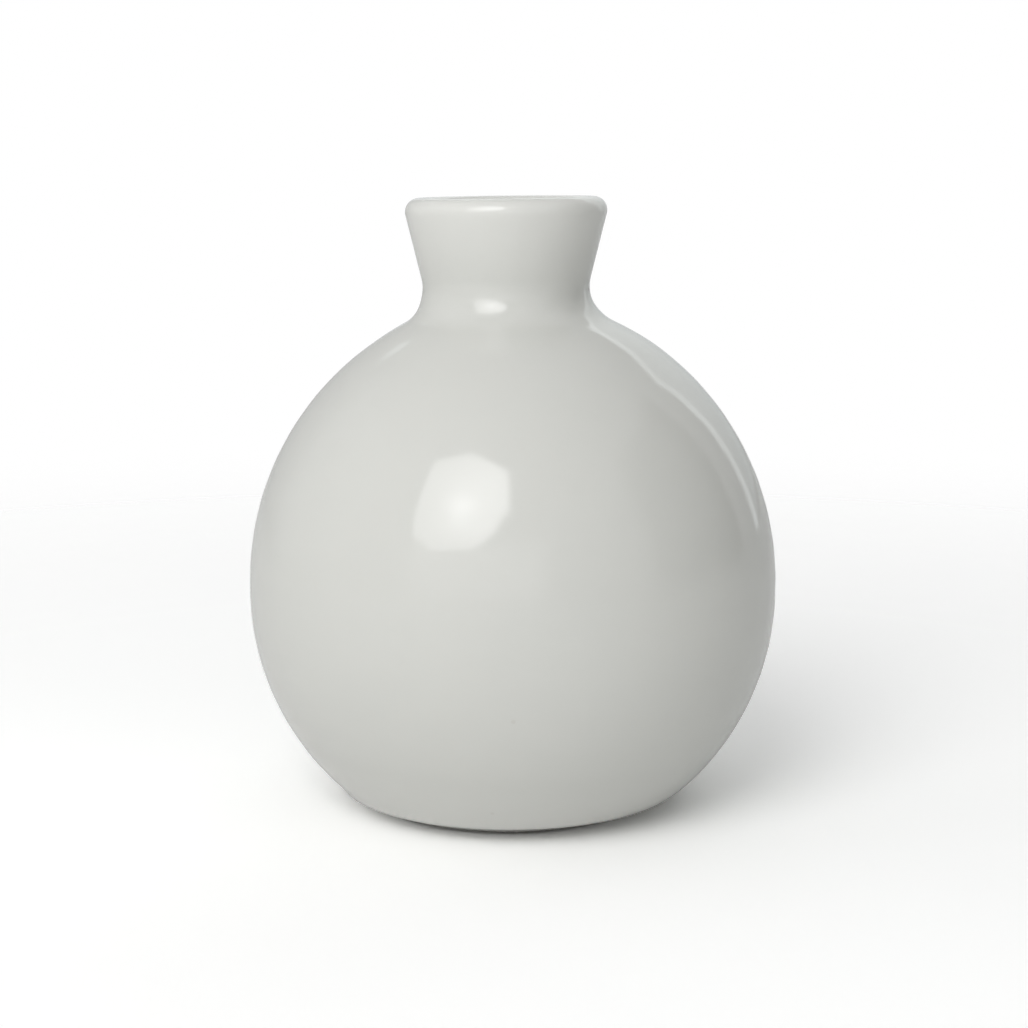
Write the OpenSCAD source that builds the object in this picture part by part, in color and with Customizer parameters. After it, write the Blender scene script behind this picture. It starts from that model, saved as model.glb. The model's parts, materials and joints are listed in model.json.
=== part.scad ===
// Round bud vase: a globe on a bevelled foot, with a short flared neck and a rolled lip.
// +Z is up, the origin is the middle of the foot on the surface it stands on, sizes in mm.
// Every wall is a layer between two depths below one outer outline, so that glaze, clay
// and slip meet face to face. The outline runs upwards through a bevel, a bowl arc, a short
// upright belly, a shoulder arc, a hollow root arc, a straight flare and a half-round lip.

/* [Globe] */
// Width of the globe at its widest
belly_d = 85; // [78:1:92]
// Height at which the bowl arc ends and the upright belly starts
belly_z = 35; // [33:0.5:37]
// Height of the upright belly
belly_h = 1.2; // [0.4:0.1:3]
// Radius of the arc that runs from the foot up to the belly
bowl_r = 43; // [41:0.5:46]
// Radius of the arc that runs from the belly up to the neck
shoulder_r = 46.7; // [45:0.1:49]
// Thickness of the wall with its glaze, and so of the lip
wall = 4.3; // [3.5:0.1:5.5]

/* [Neck] */
// Height of the whole vase
vase_h = 97.7; // [96:0.1:105]
// Outside width of the neck at its narrowest
waist_d = 26.6; // [24:0.2:29]
// Outside width of the rim
rim_d = 32; // [31:0.2:36]
// Radius of the hollow curve where the neck rises from the shoulder
root_r = 6.3; // [4:0.1:7.5]

/* [Foot] */
// Width at the bottom of the bevel that runs round the foot
foot_d = 42; // [38:1:46]
// Height of that bevel
bevel_h = 2.7; // [1.8:0.1:4]
// Thickness of the foot disc
disc_t = 5.2; // [4.5:0.1:7]
// Width of the shallow dish turned under the foot
dish_d = 30; // [20:1:33]
// Depth of that dish
dish_h = 0.8; // [0.3:0.1:1.5]

/* [Joints and glaze] */
// Thickness of the glaze, inside and out
glaze_t = 0.4; // [0.2:0.05:0.6]
// Height above the table at which the outer glaze stops
glaze_gap = 0.2; // [0.1:0.05:0.5]
// Thickness of the slip in the two clay joints
slip_t = 0.5; // [0.3:0.05:1]

/* [Hidden] */
$fn = 180;
// Largest turn, in degrees, between neighbouring points of a wide arc and of a tight one.
wide_step = 3;
tight_step = 9;

clay_color = "#c9bda8";
slip_color = "#a99a83";
glaze_color = "#d5d4cd";
liner_color = "#cfcec6";

// The clay lies between these two depths below the outer face.
clay_out = glaze_t;
clay_in = wall - glaze_t;
wall_foot_z = disc_t + slip_t;

// The bevel is a straight line, which leans this far up from level.
foot_edge = [foot_d / 2, 0];
bevel_r = belly_d / 2 - bowl_r + sqrt(bowl_r ^ 2 - (belly_z - bevel_h) ^ 2);
bevel_lean = atan2(bevel_h, bevel_r - foot_edge.x);
bevel_up = [cos(bevel_lean), sin(bevel_lean)];
bevel_in = [-sin(bevel_lean), cos(bevel_lean)];

shoulder_z = belly_z + belly_h;
bowl_c = [belly_d / 2 - bowl_r, belly_z];
shoulder_c = [belly_d / 2 - shoulder_r, shoulder_z];
// The root arc touches the shoulder arc, which sets the height of the waist.
root_x = waist_d / 2 + root_r;
waist_z = shoulder_z + sqrt((shoulder_r + root_r) ^ 2 - (root_x - shoulder_c.x) ^ 2);
root_c = [root_x, waist_z];
// Angle on the shoulder arc, from level, at which the root arc takes over.
shoulder_end = atan2(waist_z - shoulder_z, root_x - shoulder_c.x);
// The slip under the neck lies just short of there.
neck_joint = shoulder_end - slip_t / shoulder_r * 180 / PI;
// Lean of the straight flare, which touches the root arc and the lip.
lip_r = wall / 2;
lip_c = [rim_d / 2 - lip_r, vase_h - lip_r];
rise = lip_c - root_c;
flare = acos(-(lip_r + root_r) / norm(rise)) - atan2(rise.y, rise.x);

// Points along an arc, without its last one, where the next stretch starts.
function arc(centre, r, from, to, step) =
    let (n = ceil(abs(to - from) / step))
    [for (i = [0:n - 1]) let (a = from + (to - from) * i / n) centre + r * [cos(a), sin(a)]];

function reversed(points) = [for (i = [len(points) - 1:-1:0]) points[i]];

// Point on the bevel at a depth, at a height of its outer face.
function bevel_point(depth, z) = foot_edge + z / sin(bevel_lean) * bevel_up + depth * bevel_in;

// Height at which the bevel at a depth meets the bowl arc at that depth.
function bevel_top(depth) =
    let (start = bevel_point(depth, 0) - bowl_c, along = start * bevel_up)
    bevel_point(depth, 0).y
        + bevel_up.y * (sqrt(along ^ 2 - start * start + (bowl_r - depth) ^ 2) - along);

// Angle at which the bowl arc at a depth passes a height.
function bowl_angle(depth, z) = -asin((belly_z - z) / (bowl_r - depth));

function bowl_arc(depth, from_z, to_z) =
    arc(bowl_c, bowl_r - depth, bowl_angle(depth, from_z), bowl_angle(depth, to_z), wide_step);

function bowl_point(depth, z) =
    let (a = bowl_angle(depth, z)) bowl_c + (bowl_r - depth) * [cos(a), sin(a)];

function shoulder_arc(depth, from, to) =
    arc(shoulder_c, shoulder_r - depth, from, to, wide_step);

function shoulder_point(depth, a) = shoulder_c + (shoulder_r - depth) * [cos(a), sin(a)];

// Face of the globe at a depth, from the wall's foot to the slip under the neck.
function globe_face(depth) = concat(
    bowl_arc(depth, wall_foot_z, belly_z),
    [bowl_point(depth, belly_z)],
    shoulder_arc(depth, 0, neck_joint)
);

// Face of the neck at a depth, from the end of the shoulder to the start of the lip.
function neck_face(depth) = concat(
    arc(root_c, root_r + depth, 180 + shoulder_end, 180 - flare, tight_step),
    [root_c - (root_r + depth) * [cos(flare), -sin(flare)]]
);

// Face of the lip at a depth, from its outside over the top to its inside.
function lip_face(depth) = concat(
    arc(lip_c, lip_r - depth, -flare, 180 - flare, tight_step),
    [lip_c + (depth - lip_r) * [cos(flare), -sin(flare)]]
);

// Outer face at a depth from the glaze's lower edge to the start of the lip.
function outer_face(depth) = concat(
    [bevel_point(depth, glaze_gap)],
    bowl_arc(depth, bevel_top(depth), disc_t),
    bowl_arc(depth, disc_t, wall_foot_z),
    globe_face(depth),
    [shoulder_point(depth, neck_joint)],
    neck_face(depth)
);

// Round slab of clay that closes the globe, bevelled below and dished to stand steady.
module foot_disc() {
    dish_r = ((dish_d / 2) ^ 2 + dish_h ^ 2) / (2 * dish_h);
    // The flat that the vase stands on ends where the clay's own bevel reaches the table.
    flat_r = foot_edge.x - clay_out / sin(bevel_lean);
    color(clay_color) rotate_extrude() difference() {
        polygon(concat(
            [[0, 0], [flat_r, 0]],
            bowl_arc(clay_out, bevel_top(clay_out), disc_t),
            [bowl_point(clay_out, disc_t), [0, disc_t]]
        ));
        translate([0, dish_h - dish_r]) circle(dish_r);
    }
}

// Slip that joins the globe's bottom edge to the foot disc.
module foot_slip_joint() {
    color(slip_color) rotate_extrude() polygon([
        bowl_point(clay_in, disc_t),
        bowl_point(clay_out, disc_t),
        bowl_point(clay_out, wall_foot_z),
        bowl_point(clay_in, wall_foot_z)
    ]);
}

// Thrown clay wall of the globe, open below at the foot and above at the neck.
module globe_wall() {
    color(clay_color) rotate_extrude() polygon(concat(
        globe_face(clay_out),
        [shoulder_point(clay_out, neck_joint), shoulder_point(clay_in, neck_joint)],
        reversed(globe_face(clay_in))
    ));
}

// Slip that joins the collar to the globe's shoulder.
module neck_slip_joint() {
    color(slip_color) rotate_extrude() polygon([
        shoulder_point(clay_in, neck_joint),
        shoulder_point(clay_out, neck_joint),
        shoulder_point(clay_out, shoulder_end),
        shoulder_point(clay_in, shoulder_end)
    ]);
}

// Clay neck with its flare and the half-round clay of the lip.
module neck_collar() {
    color(clay_color) rotate_extrude() polygon(concat(
        neck_face(clay_out),
        lip_face(clay_out),
        reversed(neck_face(clay_in))
    ));
}

// Glaze over everything that shows, from the foot's bevel up and over the lip.
module outer_glaze() {
    color(glaze_color) rotate_extrude() polygon(concat(
        outer_face(0),
        lip_face(0),
        reversed(lip_face(glaze_t)),
        reversed(outer_face(glaze_t))
    ));
}

// Glaze liner that makes the inside hold water, over the floor and up to the lip.
module inner_glaze() {
    floor_z = disc_t + glaze_t;
    color(liner_color) rotate_extrude() polygon(concat(
        [[0, floor_z], [0, disc_t]],
        bowl_arc(clay_in, disc_t, wall_foot_z),
        globe_face(clay_in),
        [shoulder_point(clay_in, neck_joint)],
        neck_face(clay_in),
        [for (depth = [clay_in, wall]) lip_c + (lip_r - depth) * [cos(flare), -sin(flare)]],
        reversed(neck_face(wall)),
        [shoulder_point(wall, neck_joint)],
        reversed(shoulder_arc(wall, 0, neck_joint)),
        [bowl_point(wall, belly_z)],
        reversed(bowl_arc(wall, floor_z, belly_z))
    ));
}

foot_disc();
foot_slip_joint();
globe_wall();
neck_slip_joint();
neck_collar();
outer_glaze();
inner_glaze();
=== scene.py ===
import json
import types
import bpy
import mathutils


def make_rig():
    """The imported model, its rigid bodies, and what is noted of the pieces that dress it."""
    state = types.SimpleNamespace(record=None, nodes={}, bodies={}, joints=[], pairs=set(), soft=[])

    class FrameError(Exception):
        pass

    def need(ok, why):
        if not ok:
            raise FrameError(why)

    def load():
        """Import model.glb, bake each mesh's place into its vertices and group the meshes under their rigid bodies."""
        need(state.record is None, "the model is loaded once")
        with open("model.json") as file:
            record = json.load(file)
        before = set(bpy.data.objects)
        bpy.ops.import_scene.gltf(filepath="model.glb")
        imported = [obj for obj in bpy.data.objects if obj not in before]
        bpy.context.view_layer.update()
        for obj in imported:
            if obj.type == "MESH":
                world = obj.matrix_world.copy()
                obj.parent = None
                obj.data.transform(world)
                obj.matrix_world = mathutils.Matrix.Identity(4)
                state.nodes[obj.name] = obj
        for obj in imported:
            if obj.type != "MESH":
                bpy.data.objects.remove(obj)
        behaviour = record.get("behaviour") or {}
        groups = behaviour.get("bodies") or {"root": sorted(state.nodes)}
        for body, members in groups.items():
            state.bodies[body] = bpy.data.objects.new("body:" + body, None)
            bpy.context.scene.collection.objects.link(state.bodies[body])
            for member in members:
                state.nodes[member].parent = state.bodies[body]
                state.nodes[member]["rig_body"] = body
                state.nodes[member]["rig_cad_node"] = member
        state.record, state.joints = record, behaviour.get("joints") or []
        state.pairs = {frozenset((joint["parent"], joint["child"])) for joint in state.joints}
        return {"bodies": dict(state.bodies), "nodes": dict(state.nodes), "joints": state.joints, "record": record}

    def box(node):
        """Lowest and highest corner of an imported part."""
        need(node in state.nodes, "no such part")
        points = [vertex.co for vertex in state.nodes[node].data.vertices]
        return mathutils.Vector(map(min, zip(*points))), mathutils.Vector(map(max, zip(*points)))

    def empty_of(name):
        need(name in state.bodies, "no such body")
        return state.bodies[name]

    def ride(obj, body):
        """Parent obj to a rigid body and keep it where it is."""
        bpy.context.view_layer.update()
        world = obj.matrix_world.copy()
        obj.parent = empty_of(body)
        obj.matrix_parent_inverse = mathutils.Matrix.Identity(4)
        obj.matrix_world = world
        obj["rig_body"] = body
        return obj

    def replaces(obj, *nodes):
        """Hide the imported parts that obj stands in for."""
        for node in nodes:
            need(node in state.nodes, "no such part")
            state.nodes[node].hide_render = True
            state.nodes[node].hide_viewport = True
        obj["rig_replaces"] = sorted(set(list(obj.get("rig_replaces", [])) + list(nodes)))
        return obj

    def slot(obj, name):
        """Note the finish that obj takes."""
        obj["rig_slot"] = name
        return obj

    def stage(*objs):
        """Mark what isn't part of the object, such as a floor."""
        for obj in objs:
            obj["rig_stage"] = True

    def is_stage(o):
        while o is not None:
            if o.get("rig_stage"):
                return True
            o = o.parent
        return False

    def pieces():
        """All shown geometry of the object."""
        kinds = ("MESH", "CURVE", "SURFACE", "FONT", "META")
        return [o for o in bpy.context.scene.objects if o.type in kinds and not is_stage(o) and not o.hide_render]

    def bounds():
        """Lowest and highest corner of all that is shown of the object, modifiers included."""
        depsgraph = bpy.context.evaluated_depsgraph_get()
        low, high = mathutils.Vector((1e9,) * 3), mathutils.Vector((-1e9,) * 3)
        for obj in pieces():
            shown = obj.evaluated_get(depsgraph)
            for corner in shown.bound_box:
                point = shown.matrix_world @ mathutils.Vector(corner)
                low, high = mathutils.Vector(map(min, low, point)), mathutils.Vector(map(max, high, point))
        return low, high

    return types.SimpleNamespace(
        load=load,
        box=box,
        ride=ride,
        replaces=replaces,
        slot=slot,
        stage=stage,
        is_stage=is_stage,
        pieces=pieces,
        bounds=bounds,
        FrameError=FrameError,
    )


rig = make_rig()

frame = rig.load()

# Round glazed bud vase: seven fired pieces built round the packed frame, and a pale studio.
import json
import math

import bmesh
import bpy
from bpy.props import FloatProperty, FloatVectorProperty, IntProperty, PointerProperty
from mathutils import Vector, noise

CAD_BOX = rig.bounds()

bl_info = {
    "name": "Round Bud Vase",
    "version": (1, 0, 0),
    "blender": (4, 5, 0),
    "location": "3D View > Sidebar > Bud Vase",
    "description": "Builds a glazed round bud vase on its packed frame, with a pale studio",
    "category": "Add Mesh",
}

MM = 0.001
BODY = "root"
GLAZE_LOW, GLAZE_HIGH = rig.box("outer_glaze")
DISC_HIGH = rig.box("foot_disc")[1]
SLIP_LOW, SLIP_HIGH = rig.box("foot_slip_joint")


# ---------------------------------------------------------------- sizes and colours


class VaseShape(bpy.types.PropertyGroup):
    """Sizes of the ideal form, before the hand has been at it"""

    height: FloatProperty(
        name="Height", description="Height of the whole vase",
        default=GLAZE_HIGH.z, unit="LENGTH",
    )
    belly_width: FloatProperty(
        name="Belly width", description="Width of the globe at its widest",
        default=85 * MM, unit="LENGTH",
    )
    belly_start: FloatProperty(
        name="Belly start", description="Height at which the bowl arc ends",
        default=35 * MM, unit="LENGTH",
    )
    belly_rise: FloatProperty(
        name="Belly rise", description="Height of the upright belly",
        default=1.2 * MM, unit="LENGTH",
    )
    bowl_radius: FloatProperty(
        name="Bowl radius", description="Radius of the arc from the foot to the belly",
        default=43 * MM, unit="LENGTH",
    )
    shoulder_radius: FloatProperty(
        name="Shoulder radius", description="Radius of the arc from the belly to the neck",
        default=46.7 * MM, unit="LENGTH",
    )
    waist_width: FloatProperty(
        name="Waist width", description="Outside width of the neck at its narrowest",
        default=26.6 * MM, unit="LENGTH",
    )
    root_radius: FloatProperty(
        name="Root radius", description="Radius of the hollow curve under the neck",
        default=6.3 * MM, unit="LENGTH",
    )
    rim_width: FloatProperty(
        name="Rim width", description="Outside width of the rim",
        default=32 * MM, unit="LENGTH",
    )
    wall: FloatProperty(
        name="Wall", description="Thickness of the wall with its glaze",
        default=4.3 * MM, unit="LENGTH",
    )
    glaze: FloatProperty(
        name="Glaze", description="Thickness of the glaze",
        default=0.4 * MM, unit="LENGTH",
    )
    foot_width: FloatProperty(
        name="Foot width", description="Width at the bottom of the bevel",
        default=42 * MM, unit="LENGTH",
    )
    bevel_rise: FloatProperty(
        name="Bevel rise", description="Height of the bevel round the foot",
        default=2.7 * MM, unit="LENGTH",
    )
    dish_width: FloatProperty(
        name="Dish width", description="Width of the dish turned under the foot",
        default=30 * MM, unit="LENGTH",
    )
    dish_depth: FloatProperty(
        name="Dish depth", description="Depth of the dish turned under the foot",
        default=0.8 * MM, unit="LENGTH",
    )


class HandOfTheMaker(bpy.types.PropertyGroup):
    """How far the thrown form strays from the ideal one"""

    neck_offset: FloatProperty(
        name="Neck offset", description="How far to the left the collar was set on",
        default=1.1 * MM, unit="LENGTH",
    )
    foot_offset: FloatProperty(
        name="Foot offset", description="How far to the left the foot was turned",
        default=0.9 * MM, unit="LENGTH",
    )
    rim_tilt: FloatProperty(
        name="Rim tilt", description="How far the rim dips to the left",
        default=math.radians(0.65), unit="ROTATION",
    )
    out_of_round: FloatProperty(
        name="Out of round", description="How far the wall wanders in and out",
        default=0.06 * MM, unit="LENGTH",
    )
    ripple: FloatProperty(
        name="Ripple", description="Height of the soft finger ripples in the wall",
        default=0.012 * MM, unit="LENGTH",
    )


class GlazeLook(bpy.types.PropertyGroup):
    """Colours and finish of the glaze"""

    tone: FloatVectorProperty(
        name="Tone", description="Colour of the glaze on the open wall",
        default=(0.66, 0.664, 0.63), subtype="COLOR", min=0, max=1,
    )
    pooled: FloatVectorProperty(
        name="Pooled", description="Colour where the glaze lies thick",
        default=(0.63, 0.64, 0.61), subtype="COLOR", min=0, max=1,
    )
    # Painted light: a paler tint painted up the neck and over the foot, where more light falls.
    painted_light_tint: FloatVectorProperty(
        name="Thin", description="Colour where the glaze runs thin, at the lip and foot",
        default=(0.73, 0.733, 0.70), subtype="COLOR", min=0, max=1,
    )
    speck: FloatVectorProperty(
        name="Speck", description="Colour of the iron specks under the glaze",
        default=(0.30, 0.24, 0.17), subtype="COLOR", min=0, max=1,
    )
    roughness: FloatProperty(
        name="Roughness", description="Roughness of the fired glaze",
        default=0.10, min=0, max=1,
    )


class ClayLook(bpy.types.PropertyGroup):
    """Colours and finish of the bare clay and the slip"""

    tone: FloatVectorProperty(
        name="Tone", description="Colour of the fired clay",
        default=(0.52, 0.44, 0.335), subtype="COLOR", min=0, max=1,
    )
    toasted: FloatVectorProperty(
        name="Toasted", description="Colour where the kiln has toasted the clay",
        default=(0.43, 0.33, 0.225), subtype="COLOR", min=0, max=1,
    )
    slip: FloatVectorProperty(
        name="Slip", description="Colour of the fired slip in the joints",
        default=(0.38, 0.32, 0.24), subtype="COLOR", min=0, max=1,
    )
    roughness: FloatProperty(
        name="Roughness", description="Roughness of the bare clay",
        default=0.78, min=0, max=1,
    )


class StudioLook(bpy.types.PropertyGroup):
    """The pale floor, the lights and the camera"""

    floor: FloatVectorProperty(
        name="Floor", description="Colour of the floor",
        default=(0.84, 0.84, 0.835), subtype="COLOR", min=0, max=1,
    )
    floor_lift: FloatProperty(
        name="Floor lift", description="How much paler the floor looks than it is lit",
        default=1.5, min=0,
    )
    room: FloatProperty(
        name="Room", description="Brightness of the room all round", default=0.51, min=0,
    )
    key: FloatProperty(
        name="Key", description="Brightness of the eight-sided softbox", default=4.6, min=0,
    )
    key_heart: FloatProperty(
        name="Key heart", description="How much brighter the middle of the softbox is",
        default=0.55, min=0,
    )
    left_wall: FloatProperty(
        name="Left wall", description="Brightness of the panel on the left",
        default=0.16, min=0,
    )
    front_low: FloatProperty(
        name="Front low", description="Brightness of the low panel in front",
        default=0.58, min=0,
    )
    backdrop: FloatProperty(
        name="Backdrop", description="Brightness of the backdrop", default=1.14, min=0,
    )
    backdrop_edge: FloatProperty(
        name="Backdrop edge", description="Brightness of the fold along the backdrop's edge",
        default=1.7, min=0,
    )
    flag: FloatProperty(
        name="Flag", description="Brightness of the dim flag on the right",
        default=0.05, min=0,
    )
    camera_reach: FloatProperty(
        name="Camera reach", description="Distance of the camera in front of the vase",
        default=0.34, unit="LENGTH",
    )
    camera_rise: FloatProperty(
        name="Camera rise", description="Height of the camera above the rim",
        default=5.9 * MM, unit="LENGTH",
    )
    camera_side: FloatProperty(
        name="Camera side", description="How far the camera stands to the right of the axis",
        default=0.14 * MM, unit="LENGTH",
    )
    camera_aim: FloatProperty(
        name="Camera aim", description="Share of the vase's height at which the camera looks",
        default=0.4798, min=0, max=1,
    )
    lens: FloatProperty(
        name="Lens", description="Focal length of the camera", default=74.5,
        unit="CAMERA",
    )


class MeshDetail(bpy.types.PropertyGroup):
    """How finely the pieces are built"""

    sides: IntProperty(
        name="Sides", description="Steps round the vase", default=192, min=48,
    )


SETTINGS = {
    "vase_shape": VaseShape,
    "vase_hand": HandOfTheMaker,
    "vase_glaze": GlazeLook,
    "vase_clay": ClayLook,
    "vase_studio": StudioLook,
    "vase_detail": MeshDetail,
}


# ---------------------------------------------------------------- the outline


def arc(centre, radius, start, end, spacing):
    """Points along an arc without its last one, about a spacing apart."""
    count = max(2, math.ceil(abs(end - start) * radius / spacing))
    turns = [start + (end - start) * i / count for i in range(count)]
    return [centre + radius * Vector((math.cos(a), math.sin(a))) for a in turns]


class Outline:
    """Half outline of the vase, as faces at a depth below the outer one."""

    # Spacing of the points on the wide arcs and on the tight ones.
    WIDE = 1.0 * MM
    TIGHT = 0.35 * MM

    def __init__(self, shape):
        self.shape = shape
        half_belly = shape.belly_width / 2
        self.bowl = Vector((half_belly - shape.bowl_radius, shape.belly_start))
        self.belly_top = shape.belly_start + shape.belly_rise
        self.shoulder = Vector((half_belly - shape.shoulder_radius, self.belly_top))
        root_x = shape.waist_width / 2 + shape.root_radius
        span = shape.shoulder_radius + shape.root_radius
        rise = math.sqrt(span ** 2 - (root_x - self.shoulder.x) ** 2)
        self.root = Vector((root_x, self.belly_top + rise))
        self.shoulder_end = math.atan2(rise, root_x - self.shoulder.x)
        self.lip_radius = shape.wall / 2
        self.lip = Vector((shape.rim_width / 2, shape.height))
        self.lip -= Vector((self.lip_radius, self.lip_radius))
        gap = self.lip - self.root
        touch = (self.lip_radius + shape.root_radius) / gap.length
        self.flare = math.acos(-touch) - math.atan2(gap.y, gap.x)
        self.flare_out = Vector((math.cos(self.flare), -math.sin(self.flare)))
        bevel_y = shape.belly_start - shape.bevel_rise
        bevel_x = self.bowl.x + math.sqrt(shape.bowl_radius ** 2 - bevel_y ** 2)
        self.foot_edge = Vector((shape.foot_width / 2, 0))
        self.bevel_up = Vector((bevel_x, shape.bevel_rise)) - self.foot_edge
        self.bevel_up.normalize()
        self.bevel_in = Vector((-self.bevel_up.y, self.bevel_up.x))

    def bevel_point(self, depth, height):
        along = height / self.bevel_up.y
        return self.foot_edge + along * self.bevel_up + depth * self.bevel_in

    def bevel_top(self, depth):
        start = self.bevel_point(depth, 0)
        along = (start - self.bowl).dot(self.bevel_up)
        radius = self.shape.bowl_radius - depth
        step = math.sqrt(along ** 2 - (start - self.bowl).length_squared + radius ** 2)
        return start + (step - along) * self.bevel_up

    def bevel_face(self, depth, height):
        start, end = self.bevel_point(depth, height), self.bevel_top(depth)
        count = math.ceil((end - start).length / self.TIGHT)
        return [start.lerp(end, i / count) for i in range(count)]

    def bowl_angle(self, depth, height):
        drop = self.shape.belly_start - height
        return -math.asin(drop / (self.shape.bowl_radius - depth))

    def bowl_face(self, depth, low, high):
        angles = [self.bowl_angle(depth, z) for z in (low, high)]
        return arc(self.bowl, self.shape.bowl_radius - depth, *angles, self.WIDE)

    def bowl_point(self, depth, height):
        angle = self.bowl_angle(depth, height)
        radius = self.shape.bowl_radius - depth
        return self.bowl + radius * Vector((math.cos(angle), math.sin(angle)))

    def shoulder_face(self, depth, start, end):
        return arc(self.shoulder, self.shape.shoulder_radius - depth, start, end, self.WIDE)

    def shoulder_point(self, depth, angle):
        radius = self.shape.shoulder_radius - depth
        return self.shoulder + radius * Vector((math.cos(angle), math.sin(angle)))

    def neck_face(self, depth):
        radius = self.shape.root_radius + depth
        turn = arc(self.root, radius, math.pi + self.shoulder_end,
                   math.pi - self.flare, self.TIGHT * 1.5)
        start = self.root - radius * self.flare_out
        end = self.lip + (self.lip_radius - depth) * self.flare_out
        count = math.ceil((end - start).length / (0.6 * self.WIDE))
        return turn + [start.lerp(end, i / count) for i in range(count)]

    def lip_face(self, depth):
        radius = self.lip_radius - depth
        top = arc(self.lip, radius, -self.flare, math.pi - self.flare, self.TIGHT)
        return top + [self.lip - radius * self.flare_out]

    def slip_angle(self, thickness):
        return self.shoulder_end - thickness / self.shape.shoulder_radius


def ease(value, low, high):
    """0 below low, 1 above high, and a smooth rise between them."""
    t = min(max((value - low) / (high - low), 0), 1)
    return t * t * (3 - 2 * t)


class Hand:
    """Moves a point of the ideal form to where the maker's hand left it."""

    def __init__(self, settings, outline):
        self.settings = settings
        self.outline = outline

    def neck_share(self, z):
        waist = self.outline.root.y
        return ease(z, waist - 9.5 * MM, waist - 1 * MM)

    def settle(self, point):
        hand = self.settings.vase_hand
        x, y, z = point
        around = math.atan2(y, x)
        reach = math.hypot(x, y)
        neck = self.neck_share(z)
        foot = 1 - ease(z, 0.5 * MM, 4.5 * MM)
        wander = noise.noise(Vector((math.cos(around), math.sin(around), 9 * z)) * 1.3)
        loose = (1 - foot) * (1 - 0.6 * neck) * min(reach / (20 * MM), 1)
        ripple = math.sin(2 * math.pi * z / (5.2 * MM) + around)
        swell = loose * (hand.out_of_round * wander * 2 + hand.ripple * ripple)
        x += swell * math.cos(around)
        y += swell * math.sin(around)
        z += neck * math.tan(hand.rim_tilt) * x
        x -= neck * hand.neck_offset + foot * hand.foot_offset
        return Vector((x, y, z))


# ---------------------------------------------------------------- meshes


def turn_piece(name, profile, hand, sides, sharp_at=()):
    """Turns a closed half outline round the axis, settles it and links it.

    The points run outwards along the bottom and up the outside. A point on the axis
    becomes a single vertex. The edges round the points in sharp_at stay crisp.
    """
    mesh = bpy.data.meshes.new(name)
    work = bmesh.new()
    rings = []
    for point in profile:
        if point.x < 1e-7:
            rings.append([work.verts.new(hand.settle((0, 0, point.y)))])
            continue
        ring = []
        for i in range(sides):
            a = 2 * math.pi * i / sides
            at = (point.x * math.cos(a), point.x * math.sin(a), point.y)
            ring.append(work.verts.new(hand.settle(at)))
        rings.append(ring)
    for low, high in zip(rings, rings[1:] + rings[:1]):
        if len(low) == 1 and len(high) == 1:
            continue
        for i in range(sides):
            j = (i + 1) % sides
            corners = [low[i % len(low)], low[j % len(low)],
                       high[j % len(high)], high[i % len(high)]]
            unique = list(dict.fromkeys(corners))
            work.faces.new(unique)
    for face in work.faces:
        face.smooth = True
    for index in sharp_at:
        ring = rings[index]
        for i in range(len(ring)):
            edge = work.edges.get((ring[i], ring[(i + 1) % len(ring)]))
            edge.smooth = False
    bmesh.ops.recalc_face_normals(work, faces=work.faces)
    work.to_mesh(mesh)
    work.free()
    piece = bpy.data.objects.new(name, mesh)
    bpy.context.scene.collection.objects.link(piece)
    return piece


def fit_piece(piece, node, slot, material):
    """Lets a piece stand for its CAD node and ride on the body."""
    piece.data.materials.append(material)
    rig.ride(piece, BODY)
    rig.replaces(piece, node)
    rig.slot(piece, slot)


# ---------------------------------------------------------------- materials


class Nodes:
    """Short way to add and join shader nodes in one tree."""

    def __init__(self, tree):
        self.tree = tree
        self.column = 0

    def add(self, kind, inputs=None, **settings):
        node = self.tree.nodes.new(kind)
        node.location = (self.column, 0)
        self.column += 180
        for key, value in settings.items():
            setattr(node, key, value)
        for key, value in (inputs or {}).items():
            self.feed(node.inputs[key], value)
        return node

    def feed(self, socket, value):
        if isinstance(value, bpy.types.NodeSocket):
            self.tree.links.new(value, socket)
        else:
            socket.default_value = value

    def math(self, operation, *values, clamp=False):
        node = self.add("ShaderNodeMath", operation=operation, use_clamp=clamp)
        for socket, value in zip(node.inputs, values):
            self.feed(socket, value)
        return node.outputs[0]

    def mix(self, share, first, second):
        node = self.add("ShaderNodeMix", data_type="RGBA")
        self.feed(node.inputs["Factor"], share)
        self.feed(node.inputs["A"], first)
        self.feed(node.inputs["B"], second)
        return node.outputs["Result"]

    def remap(self, value, low, high, to_low=0.0, to_high=1.0):
        node = self.add("ShaderNodeMapRange", interpolation_type="SMOOTHSTEP")
        for key, number in (("Value", value), ("From Min", low), ("From Max", high),
                            ("To Min", to_low), ("To Max", to_high)):
            self.feed(node.inputs[key], number)
        return node.outputs["Result"]

    def noise(self, place, scale, detail=3.0, roughness=0.5):
        node = self.add("ShaderNodeTexNoise", {
            "Vector": place, "Scale": scale, "Detail": detail, "Roughness": roughness,
        })
        return node.outputs["Fac"]

    def group(self, tree, inputs):
        return self.add("ShaderNodeGroup", inputs, node_tree=tree)


def new_group(name, inputs, outputs):
    """An empty shader node group with named sockets, and its input and output nodes."""
    tree = bpy.data.node_groups.new(name, "ShaderNodeTree")
    for label, kind, default in inputs:
        socket = tree.interface.new_socket(label, in_out="INPUT", socket_type=kind)
        socket.default_value = default
    for label, kind in outputs:
        tree.interface.new_socket(label, in_out="OUTPUT", socket_type=kind)
    nodes = Nodes(tree)
    return tree, nodes, nodes.add("NodeGroupInput").outputs, nodes.add("NodeGroupOutput")


FLOAT, VECTOR, COLOUR = "NodeSocketFloat", "NodeSocketVector", "NodeSocketColor"


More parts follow.
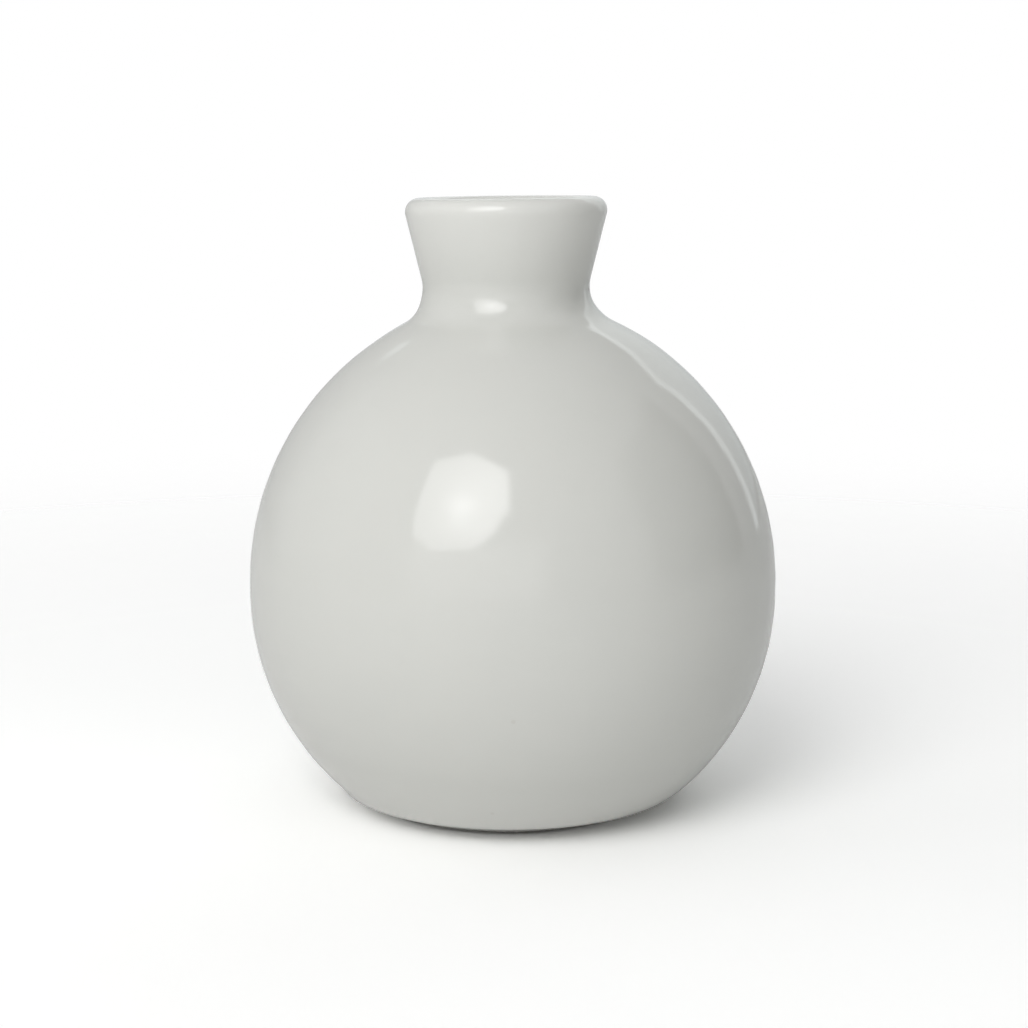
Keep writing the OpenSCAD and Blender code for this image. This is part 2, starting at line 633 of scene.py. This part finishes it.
def kiln_specks():
    """Sparse round specks, each with its own size. Gives a mask."""
    tree = bpy.data.node_groups.get("Kiln Specks")
    if tree:
        return tree
    tree, n, given, out = new_group(
        "Kiln Specks",
        [("Place", VECTOR, (0, 0, 0)), ("Scale", FLOAT, 400.0),
         ("Size", FLOAT, 0.12), ("Share", FLOAT, 0.05)],
        [("Mask", FLOAT)],
    )
    cells = n.add("ShaderNodeTexVoronoi", {
        "Vector": given["Place"], "Scale": given["Scale"], "Randomness": 1.0,
    })
    pick = n.add("ShaderNodeSeparateColor", {"Color": cells.outputs["Color"]})
    chosen = n.math("LESS_THAN", pick.outputs["Red"], given["Share"])
    radius = n.math("MULTIPLY", given["Size"], pick.outputs["Green"])
    inner = n.math("MULTIPLY", radius, 0.4)
    dot = n.remap(cells.outputs["Distance"], radius, inner)
    n.feed(out.inputs["Mask"], n.math("MULTIPLY", dot, chosen))
    return tree


def fired_mottle():
    """Slow and fine drifts of tone from the kiln. Gives a share from 0 to 1."""
    tree = bpy.data.node_groups.get("Fired Mottle")
    if tree:
        return tree
    tree, n, given, out = new_group(
        "Fired Mottle",
        [("Place", VECTOR, (0, 0, 0)), ("Broad", FLOAT, 25.0),
         ("Fine", FLOAT, 260.0), ("Fine Share", FLOAT, 0.3)],
        [("Share", FLOAT)],
    )
    broad = n.noise(given["Place"], given["Broad"], 4.0, 0.55)
    fine = n.noise(given["Place"], given["Fine"], 5.0, 0.6)
    spread = n.math("SUBTRACT", fine, 0.5)
    lifted = n.math("MULTIPLY_ADD", spread, given["Fine Share"], broad)
    n.feed(out.inputs["Share"], n.remap(lifted, 0.30, 0.70))
    return tree


def tooth():
    """Gritty and dragged surface of worked clay. Gives a height."""
    tree = bpy.data.node_groups.get("Clay Tooth")
    if tree:
        return tree
    tree, n, given, out = new_group(
        "Clay Tooth",
        [("Place", VECTOR, (0, 0, 0)), ("Grit", FLOAT, 2600.0),
         ("Drag", FLOAT, 900.0), ("Drag Share", FLOAT, 0.5)],
        [("Height", FLOAT)],
    )
    grit = n.noise(given["Place"], given["Grit"], 6.0, 0.65)
    apart = n.add("ShaderNodeSeparateXYZ", {"Vector": given["Place"]})
    square_x = n.math("MULTIPLY", apart.outputs["X"], apart.outputs["X"])
    square_y = n.math("MULTIPLY", apart.outputs["Y"], apart.outputs["Y"])
    reach = n.math("SQRT", n.math("ADD", square_x, square_y))
    ring_place = n.add("ShaderNodeCombineXYZ", {"X": reach, "Y": apart.outputs["Z"]})
    drag = n.noise(ring_place.outputs[0], given["Drag"], 2.0, 0.6)
    n.feed(out.inputs["Height"], n.math("MULTIPLY_ADD", drag, given["Drag Share"], grit))
    return tree


def start_material(name):
    """An empty material, its nodes and the place on the object."""
    material = bpy.data.materials.new(name)
    material.use_nodes = True
    material.node_tree.nodes.clear()
    nodes = Nodes(material.node_tree)
    place = nodes.add("ShaderNodeTexCoord").outputs["Object"]
    return material, nodes, place


def finish_material(nodes, shader_inputs):
    """Adds the shader and the output."""
    shader = nodes.add("ShaderNodeBsdfPrincipled", shader_inputs)
    output = nodes.add("ShaderNodeOutputMaterial")
    nodes.tree.links.new(shader.outputs["BSDF"], output.inputs["Surface"])


def opaque(colour):
    """The colour with a full alpha."""
    return (*colour, 1.0)


def glaze_material(name, look, outline, speck_share):
    """Glossy glaze: it drifts in tone, pools in the hollow of the neck and thins on the lip."""
    material, n, place = start_material(name)
    height = n.add("ShaderNodeSeparateXYZ", {"Vector": place}).outputs["Z"]
    drift = n.group(fired_mottle(), {"Place": place, "Broad": 22.0, "Fine": 180.0,
                                     "Fine Share": 0.25}).outputs["Share"]
    waist = outline.root.y
    rising = n.remap(height, waist - 9 * MM, waist - 3 * MM)
    falling = n.remap(height, waist + 5 * MM, waist - 1 * MM)
    hollow = n.math("MULTIPLY", rising, falling)
    pooled = n.math("MULTIPLY_ADD", drift, 0.35, n.math("MULTIPLY", hollow, 0.15), clamp=True)
    wall = n.mix(pooled, opaque(look.tone), opaque(look.pooled))
    # Painted light: the tone is lifted to a paler tint from the waist up to the rim and over the lowest 13 mm, for
    # brighter light on the neck and light bounced onto the bottom.
    lip = n.remap(height, waist, outline.shape.height)
    foot = n.remap(height, 13 * MM, 1 * MM)
    edge = n.math("MAXIMUM", lip, foot)
    wall = n.mix(edge, wall, opaque(look.painted_light_tint))
    specks = n.group(kiln_specks(), {"Place": place, "Scale": 320.0, "Size": 0.16,
                                     "Share": speck_share}).outputs["Mask"]
    colour = n.mix(n.math("MULTIPLY", specks, 0.10), wall, opaque(look.speck))
    slick = n.noise(place, 60.0, 3.0)
    roughness = n.remap(slick, 0.3, 0.7, look.roughness * 0.8, look.roughness * 1.25)
    peel = n.noise(place, 420.0, 2.0, 0.4)
    pits = n.group(kiln_specks(), {"Place": place, "Scale": 500.0, "Size": 0.10,
                                   "Share": 0.03}).outputs["Mask"]
    relief = n.math("SUBTRACT", n.math("MULTIPLY", peel, 0.5), pits)
    bump = n.add("ShaderNodeBump", {"Height": relief, "Strength": 0.12,
                                    "Distance": 0.02 * MM})
    finish_material(n, {
        "Base Color": colour, "Roughness": roughness, "IOR": 1.52,
        "Normal": bump.outputs["Normal"],
    })
    return material


def clay_material(name, look):
    """Bare fired clay: matte, gritty, toasted in patches, with dark iron specks."""
    material, n, place = start_material(name)
    toast = n.group(fired_mottle(), {"Place": place, "Broad": 45.0, "Fine": 900.0,
                                     "Fine Share": 0.6}).outputs["Share"]
    body = n.mix(toast, opaque(look.tone), opaque(look.toasted))
    specks = n.group(kiln_specks(), {"Place": place, "Scale": 900.0, "Size": 0.35,
                                     "Share": 0.10}).outputs["Mask"]
    colour = n.mix(n.math("MULTIPLY", specks, 0.7), body, (0.10, 0.07, 0.05, 1.0))
    height = n.group(tooth(), {"Place": place}).outputs["Height"]
    bump = n.add("ShaderNodeBump", {"Height": height, "Strength": 0.6,
                                    "Distance": 0.08 * MM})
    roughness = n.remap(toast, 0.0, 1.0, look.roughness, look.roughness + 0.12)
    finish_material(n, {
        "Base Color": colour, "Roughness": roughness, "Normal": bump.outputs["Normal"],
    })
    return material


def slip_material(name, look):
    """Slip in the joints: darker and finer than the clay it joins."""
    material, n, place = start_material(name)
    drift = n.group(fired_mottle(), {"Place": place, "Broad": 120.0, "Fine": 1200.0,
                                     "Fine Share": 0.5}).outputs["Share"]
    colour = n.mix(drift, opaque(look.slip), opaque(look.toasted))
    height = n.group(tooth(), {"Place": place, "Grit": 4000.0,
                               "Drag Share": 0.2}).outputs["Height"]
    bump = n.add("ShaderNodeBump", {"Height": height, "Strength": 0.4,
                                    "Distance": 0.04 * MM})
    roughness = n.remap(drift, 0.0, 1.0, look.roughness, look.roughness + 0.08)
    finish_material(n, {
        "Base Color": colour, "Roughness": roughness, "Normal": bump.outputs["Normal"],
    })
    return material


def floor_material(name, look):
    """Smooth pale paper that fades into the white of the room far from the vase."""
    material, n, place = start_material(name)
    drift = n.group(fired_mottle(), {"Place": place, "Broad": 3.0, "Fine": 40.0,
                                     "Fine Share": 0.2}).outputs["Share"]
    far = n.add("ShaderNodeVectorMath", {0: place}, operation="LENGTH").outputs["Value"]
    fade = n.remap(far, 0.05, 0.44)
    path = n.add("ShaderNodeLightPath").outputs["Is Camera Ray"]
    below = n.add("ShaderNodeNewGeometry").outputs["Backfacing"]
    shade = [channel * 0.985 for channel in look.floor]
    paper = n.mix(drift, opaque(look.floor), opaque(shade))
    lift = n.math("MULTIPLY_ADD", path, look.floor_lift - 1, 1.0)
    colour = n.add("ShaderNodeVectorMath", {0: paper, "Scale": lift}, operation="SCALE")
    lit = n.add("ShaderNodeBsdfDiffuse", {"Color": colour.outputs["Vector"]})
    clear = n.add("ShaderNodeBsdfTransparent")
    gone = n.math("MULTIPLY", path, n.math("MAXIMUM", fade, below))
    both = n.add("ShaderNodeMixShader", {0: gone, 1: lit.outputs[0], 2: clear.outputs[0]})
    n.add("ShaderNodeOutputMaterial", {"Surface": both.outputs[0]})
    return material


def softbox_material(name, look):
    """Glowing cloth of the softbox, brightest in the middle where the lamp is."""
    material, n, place = start_material(name)
    middle = n.add("ShaderNodeVectorMath", {0: place}, operation="LENGTH").outputs["Value"]
    heart = n.remap(middle, 0.20, 0.0, 0.0, look.key_heart)
    aside = n.add("ShaderNodeVectorMath", {0: place, 1: (0.22, 0.10, 0)},
                  operation="DISTANCE").outputs["Value"]
    slope = n.remap(aside, 0.75, 0.0, 0.62, 1.12)
    strength = n.math("MULTIPLY", n.math("ADD", heart, slope), look.key)
    glow = n.add("ShaderNodeEmission", {"Color": (1, 1, 1, 1), "Strength": strength})
    n.add("ShaderNodeOutputMaterial", {"Surface": glow.outputs[0]})
    return material


def glow_material(name, brightness, low_share):
    """Lit cloth, dimmer where it meets the floor."""
    material, n, place = start_material(name)
    height = n.add("ShaderNodeSeparateXYZ", {"Vector": place}).outputs["Z"]
    strength = n.remap(height, 0.05, 0.80, low_share * brightness, brightness)
    glow = n.add("ShaderNodeEmission", {"Color": (0.96, 1, 1, 1), "Strength": strength})
    n.add("ShaderNodeOutputMaterial", {"Surface": glow.outputs[0]})
    return material


def shared(name, make, *details):
    """The material of that name, made the first time it is asked for."""
    return bpy.data.materials.get(name) or make(name, *details)


# ---------------------------------------------------------------- operators

# Turn in degrees and reach in metres of each corner of the softbox, round its middle.
SOFTBOX_CORNERS = ((4, 0.43), (49, 0.49), (94, 0.50), (133, 0.50),
                   (177, 0.40), (209, 0.47), (241, 0.45), (300, 0.385))


def workshop(context):
    """The settings, the outline and the maker's hand, which every piece needs."""
    scene = context.scene
    outline = Outline(scene.vase_shape)
    return scene, outline, Hand(scene, outline)


def slip_sizes():
    """Height of the foot joint and thickness of the slip, from the frame."""
    return SLIP_LOW.z, SLIP_HIGH.z, SLIP_HIGH.z - SLIP_LOW.z


class VASE_OT_outer_glaze(bpy.types.Operator):
    """Build the glaze over the outside and the lip"""

    bl_idname = "vase.outer_glaze"
    bl_label = "Outer Glaze"

    def execute(self, context):
        scene, outline, hand = workshop(context)
        shape = scene.vase_shape

        def face(depth):
            top = outline.bevel_top(depth).y
            return (outline.bevel_face(depth, GLAZE_LOW.z)
                    + outline.bowl_face(depth, top, shape.belly_start)
                    + [outline.bowl_point(depth, shape.belly_start)]
                    + outline.shoulder_face(depth, 0, outline.shoulder_end)
                    + outline.neck_face(depth)
                    + outline.lip_face(depth))

        outside = face(0)
        inside = face(shape.glaze)
        profile = outside + inside[::-1]
        ends = (len(outside) - 1, len(outside))
        piece = turn_piece("outer_glaze_coat", profile, hand, scene.vase_detail.sides, ends)
        glaze = shared("Outer glaze", glaze_material, scene.vase_glaze, outline, 0.02)
        fit_piece(piece, "outer_glaze", "outer_glaze", glaze)
        return {"FINISHED"}


class VASE_OT_inner_glaze(bpy.types.Operator):
    """Build the glaze liner that holds the water"""

    bl_idname = "vase.inner_glaze"
    bl_label = "Inner Glaze"

    def execute(self, context):
        scene, outline, hand = workshop(context)
        shape = scene.vase_shape
        floor = DISC_HIGH.z

        def face(depth, start):
            return (outline.bowl_face(depth, start, shape.belly_start)
                    + [outline.bowl_point(depth, shape.belly_start)]
                    + outline.shoulder_face(depth, 0, outline.shoulder_end)
                    + outline.neck_face(depth)
                    + [outline.lip + (outline.lip_radius - depth) * outline.flare_out])

        def across(height, reach):
            count = math.ceil(reach / (2 * outline.WIDE))
            return [Vector((reach * i / count, height)) for i in range(count)]

        back_depth = shape.wall - shape.glaze
        back = face(back_depth, floor)
        front = face(shape.wall, floor + shape.glaze)
        under = across(floor, back[0].x)
        over = across(floor + shape.glaze, front[0].x)
        profile = under + back + front[::-1] + over[::-1]
        ends = (len(under) + len(back) - 1, len(under) + len(back))
        piece = turn_piece("inner_glaze_liner", profile, hand, scene.vase_detail.sides, ends)
        glaze = shared("Inner glaze", glaze_material, scene.vase_glaze, outline, 0.015)
        fit_piece(piece, "inner_glaze", "inner_glaze", glaze)
        return {"FINISHED"}


class VASE_OT_clay(bpy.types.Operator):
    """Build the foot disc, the globe wall and the neck collar"""

    bl_idname = "vase.clay"
    bl_label = "Clay Pieces"

    def execute(self, context):
        scene, outline, hand = workshop(context)
        shape, sides = scene.vase_shape, scene.vase_detail.sides
        near, far = shape.glaze, shape.wall - shape.glaze
        clay = shared("Fired clay", clay_material, scene.vase_clay)
        joint_low, joint_high, slip = slip_sizes()
        neck_joint = outline.slip_angle(slip)

        disc = self.disc_profile(outline, shape, near)
        piece = turn_piece("clay_foot_disc", disc, hand, sides)
        fit_piece(piece, "foot_disc", "bare_clay", clay)

        def wall_face(depth):
            return (outline.bowl_face(depth, joint_high, shape.belly_start)
                    + [outline.bowl_point(depth, shape.belly_start)]
                    + outline.shoulder_face(depth, 0, neck_joint)
                    + [outline.shoulder_point(depth, neck_joint)])

        outside, inside = wall_face(near), wall_face(far)
        ends = (0, len(outside) - 1, len(outside), len(outside) + len(inside) - 1)
        piece = turn_piece("clay_globe_wall", outside + inside[::-1], hand, sides, ends)
        fit_piece(piece, "globe_wall", "bare_clay", clay)

        collar = outline.neck_face(near) + outline.lip_face(near)
        inside = outline.neck_face(far)
        ends = (0, len(collar) + len(inside) - 1)
        piece = turn_piece("clay_neck_collar", collar + inside[::-1], hand, sides, ends)
        fit_piece(piece, "neck_collar", "bare_clay", clay)
        return {"FINISHED"}

    def disc_profile(self, outline, shape, near):
        """Underside with its dish and turning rings, then the bevel, the edge and the top."""
        flat = outline.foot_edge.x - near / outline.bevel_up.y
        half_dish = shape.dish_width / 2
        ring_width, ring_depth = 1.7 * MM, 0.035 * MM
        spacing = 0.25 * MM
        count = math.ceil(flat / spacing)
        under = []
        for i in range(count):
            reach = flat * i / count
            share = min(reach / half_dish, 1)
            dish = shape.dish_depth * (1 - share * share)
            groove = 0.5 - 0.5 * math.cos(2 * math.pi * reach / ring_width)
            fade = ease(half_dish + 1 * MM - reach, 0, 1.5 * MM)
            under.append(Vector((reach, dish + ring_depth * groove * fade)))
        top = outline.bevel_top(near).y
        bevel = outline.bevel_face(near, 0)
        bevel = [point for point in bevel if point.y > 0.05 * MM]
        edge = outline.bowl_face(near, top, DISC_HIGH.z)
        rim = outline.bowl_point(near, DISC_HIGH.z)
        count = math.ceil(rim.x / (2 * outline.WIDE))
        over = [Vector((rim.x * (1 - i / count), rim.y)) for i in range(count + 1)]
        return under + [Vector((flat, 0))] + bevel + edge + over


class VASE_OT_slip(bpy.types.Operator):
    """Build the two slip joints"""

    bl_idname = "vase.slip"
    bl_label = "Slip Joints"

    def execute(self, context):
        scene, outline, hand = workshop(context)
        shape, sides = scene.vase_shape, scene.vase_detail.sides
        near, far = shape.glaze, shape.wall - shape.glaze
        joint_low, joint_high, slip = slip_sizes()
        neck_joint, end = outline.slip_angle(slip), outline.shoulder_end
        clay_slip = shared("Joint slip", slip_material, scene.vase_clay)
        corners = {
            "foot_slip": [outline.bowl_point(d, z) for d, z in (
                (far, joint_low), (near, joint_low), (near, joint_high), (far, joint_high))],
            "neck_slip": [outline.shoulder_point(d, a) for d, a in (
                (far, neck_joint), (near, neck_joint), (near, end), (far, end))],
        }
        for name, ring in corners.items():
            piece = turn_piece(name + "_ring", ring, hand, sides, range(4))
            fit_piece(piece, name + "_joint", "slip", clay_slip)
        return {"FINISHED"}


class VASE_OT_studio(bpy.types.Operator):
    """Build the floor, the lights and the camera"""

    bl_idname = "vase.studio"
    bl_label = "Studio"

    def execute(self, context):
        scene = context.scene
        look = scene.vase_studio
        self.floor(look)
        self.room(scene, look)
        self.lights(look)
        self.camera(scene, look)
        scene.view_settings.view_transform = "Standard"
        return {"FINISHED"}

    def floor(self, look):
        work = bmesh.new()
        bmesh.ops.create_circle(work, cap_ends=True, radius=4.0, segments=96)
        mesh = bpy.data.meshes.new("studio_floor")
        work.to_mesh(mesh)
        work.free()
        floor = bpy.data.objects.new("studio_floor", mesh)
        floor.data.materials.append(shared("Studio paper", floor_material, look))
        bpy.context.scene.collection.objects.link(floor)
        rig.stage(floor)

    def room(self, scene, look):
        world = bpy.data.worlds.new("Pale room")
        world.use_nodes = True
        n = Nodes(world.node_tree)
        world.node_tree.nodes.clear()
        seen = n.add("ShaderNodeBackground", {"Color": (1, 1, 1, 1), "Strength": 1.0})
        lit = n.add("ShaderNodeBackground", {"Color": (1, 1, 1, 1),
                                             "Strength": look.room})
        path = n.add("ShaderNodeLightPath")
        both = n.add("ShaderNodeMixShader", {0: path.outputs["Is Camera Ray"],
                                             1: lit.outputs[0], 2: seen.outputs[0]})
        n.add("ShaderNodeOutputWorld", {"Surface": both.outputs[0]})
        scene.world = world

    def lights(self, look):
        """The lights. Angles are in degrees: azimuth and elevation as in direction()."""
        self.softbox(look)
        add_panel("light_left_wall", look.left_wall, -100, 15, 1.4, (1.4, 1.6))
        add_panel("light_front_low", look.front_low, -15, 12, 1.5, (1.6, 0.6))
        cloth = shared("Backdrop cloth", glow_material, look.backdrop, 0.60)
        fold = shared("Backdrop fold", glow_material, look.backdrop_edge, 0.75)
        flag = shared("Dim flag", glow_material, look.flag, 1.0)
        add_cloth("light_backdrop", (139, 190), (0, 33), cloth)
        add_cloth("light_backdrop_side", (134, 139), (-1.5, 36), fold)
        add_cloth("light_backdrop_top", (139, 190), (33, 37), fold)
        add_cloth("light_backdrop_corner", (208, 213), (31, 37), cloth)
        add_cloth("light_flag", (62, 118), (0, 46), flag)

    def softbox(self, look):
        """Eight-sided cloth, set up in front on the left and facing the vase."""
        work = bmesh.new()
        verts = []
        for turn, reach in SOFTBOX_CORNERS:
            around = math.radians(turn)
            at = (reach * math.cos(around), reach * math.sin(around), 0)
            verts.append(work.verts.new(at))
        work.faces.new(verts)
        mesh = bpy.data.meshes.new("light_softbox")
        work.to_mesh(mesh)
        work.free()
        softbox = bpy.data.objects.new("light_softbox", mesh)
        softbox.data.materials.append(shared("Softbox cloth", softbox_material, look))
        face_vase(softbox, -25, 34, 1.2)
        softbox.visible_camera = False
        bpy.context.scene.collection.objects.link(softbox)
        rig.stage(softbox)

    def camera(self, scene, look):
        data = bpy.data.cameras.new("Camera")
        data.lens = look.lens
        data.sensor_width = 36
        camera = bpy.data.objects.new("Camera", data)
        camera.location = (look.camera_side, -look.camera_reach,
                           GLAZE_HIGH.z + look.camera_rise)
        aim = Vector((look.camera_side, 0, look.camera_aim * GLAZE_HIGH.z))
        camera.rotation_euler = (aim - camera.location).to_track_quat("-Z", "Y").to_euler()
        bpy.context.scene.collection.objects.link(camera)
        scene.camera = camera


def face_vase(thing, azimuth, elevation, away):
    """Sets a light round the vase, facing it: azimuth 0 in front, -90 on the left."""
    way = direction(azimuth, elevation)
    thing.location = Vector((0, 0, GLAZE_HIGH.z / 2)) + away * way
    thing.rotation_euler = (-way).to_track_quat("-Z", "Y").to_euler()


def add_panel(name, brightness, azimuth, elevation, away, size):
    """A plain lit panel that faces the vase."""
    data = bpy.data.lights.new(name, "AREA")
    data.shape = "RECTANGLE"
    data.size, data.size_y = size
    data.energy = brightness * math.pi * size[0] * size[1]
    light = bpy.data.objects.new(name, data)
    face_vase(light, azimuth, elevation, away)
    light.visible_camera = False
    bpy.context.scene.collection.objects.link(light)
    return light


def direction(azimuth, elevation):
    """Unit vector from the vase: azimuth 0 in front, -90 on the left, 180 behind."""
    turn, lift = math.radians(azimuth), math.radians(elevation)
    return Vector((math.sin(turn) * math.cos(lift), -math.cos(turn) * math.cos(lift),
                   math.sin(lift)))


def add_cloth(name, azimuths, elevations, material):
    """A lit cloth hung round behind the vase, between two azimuths and two elevations."""
    middle = Vector((0, 0, GLAZE_HIGH.z / 2))
    away = 1.5
    columns, rows = 10, 6
    work = bmesh.new()
    grid = []
    for i in range(columns + 1):
        azimuth = azimuths[0] + (azimuths[1] - azimuths[0]) * i / columns
        heights = [elevations[0] + (elevations[1] - elevations[0]) * j / rows
                   for j in range(rows + 1)]
        grid.append([work.verts.new(middle + away * direction(azimuth, height))
                     for height in heights])
    for left, right in zip(grid, grid[1:]):
        for j in range(rows):
            work.faces.new((left[j], right[j], right[j + 1], left[j + 1]))
    mesh = bpy.data.meshes.new(name)
    work.to_mesh(mesh)
    work.free()
    cloth = bpy.data.objects.new(name, mesh)
    cloth.data.materials.append(material)
    cloth.visible_camera = False
    bpy.context.scene.collection.objects.link(cloth)
    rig.stage(cloth)


class VASE_PT_sidebar(bpy.types.Panel):
    """Sizes, colours and build steps of the vase"""

    bl_label = "Bud Vase"
    bl_idname = "VASE_PT_sidebar"
    bl_space_type = "VIEW_3D"
    bl_region_type = "UI"
    bl_category = "Bud Vase"

    def draw(self, context):
        for step in STEPS:
            self.layout.operator(step.bl_idname)
        for name, group in SETTINGS.items():
            column = self.layout.column(heading=group.__doc__)
            for field in group.__annotations__:
                column.prop(getattr(context.scene, name), field)


STEPS = (VASE_OT_clay, VASE_OT_slip, VASE_OT_outer_glaze, VASE_OT_inner_glaze,
         VASE_OT_studio)


def register():
    for group in SETTINGS.values():
        bpy.utils.register_class(group)
    for name, group in SETTINGS.items():
        setattr(bpy.types.Scene, name, PointerProperty(type=group))
    for cls in (*STEPS, VASE_PT_sidebar):
        bpy.utils.register_class(cls)


def unregister():
    for cls in (VASE_PT_sidebar, *reversed(STEPS)):
        bpy.utils.unregister_class(cls)
    for name, group in reversed(SETTINGS.items()):
        delattr(bpy.types.Scene, name)
        bpy.utils.unregister_class(group)


def main():
    """Builds the vase and its studio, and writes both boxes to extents.json."""
    register()
    bpy.ops.vase.clay()
    bpy.ops.vase.slip()
    bpy.ops.vase.outer_glaze()
    bpy.ops.vase.inner_glaze()
    bpy.ops.vase.studio()
    boxes = {
        "cad_box": [list(corner) for corner in CAD_BOX],
        "visual_box": [list(corner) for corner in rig.bounds()],
    }
    with open("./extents.json", "w") as file:
        json.dump(boxes, file)


if __name__ == "__main__":
    main()
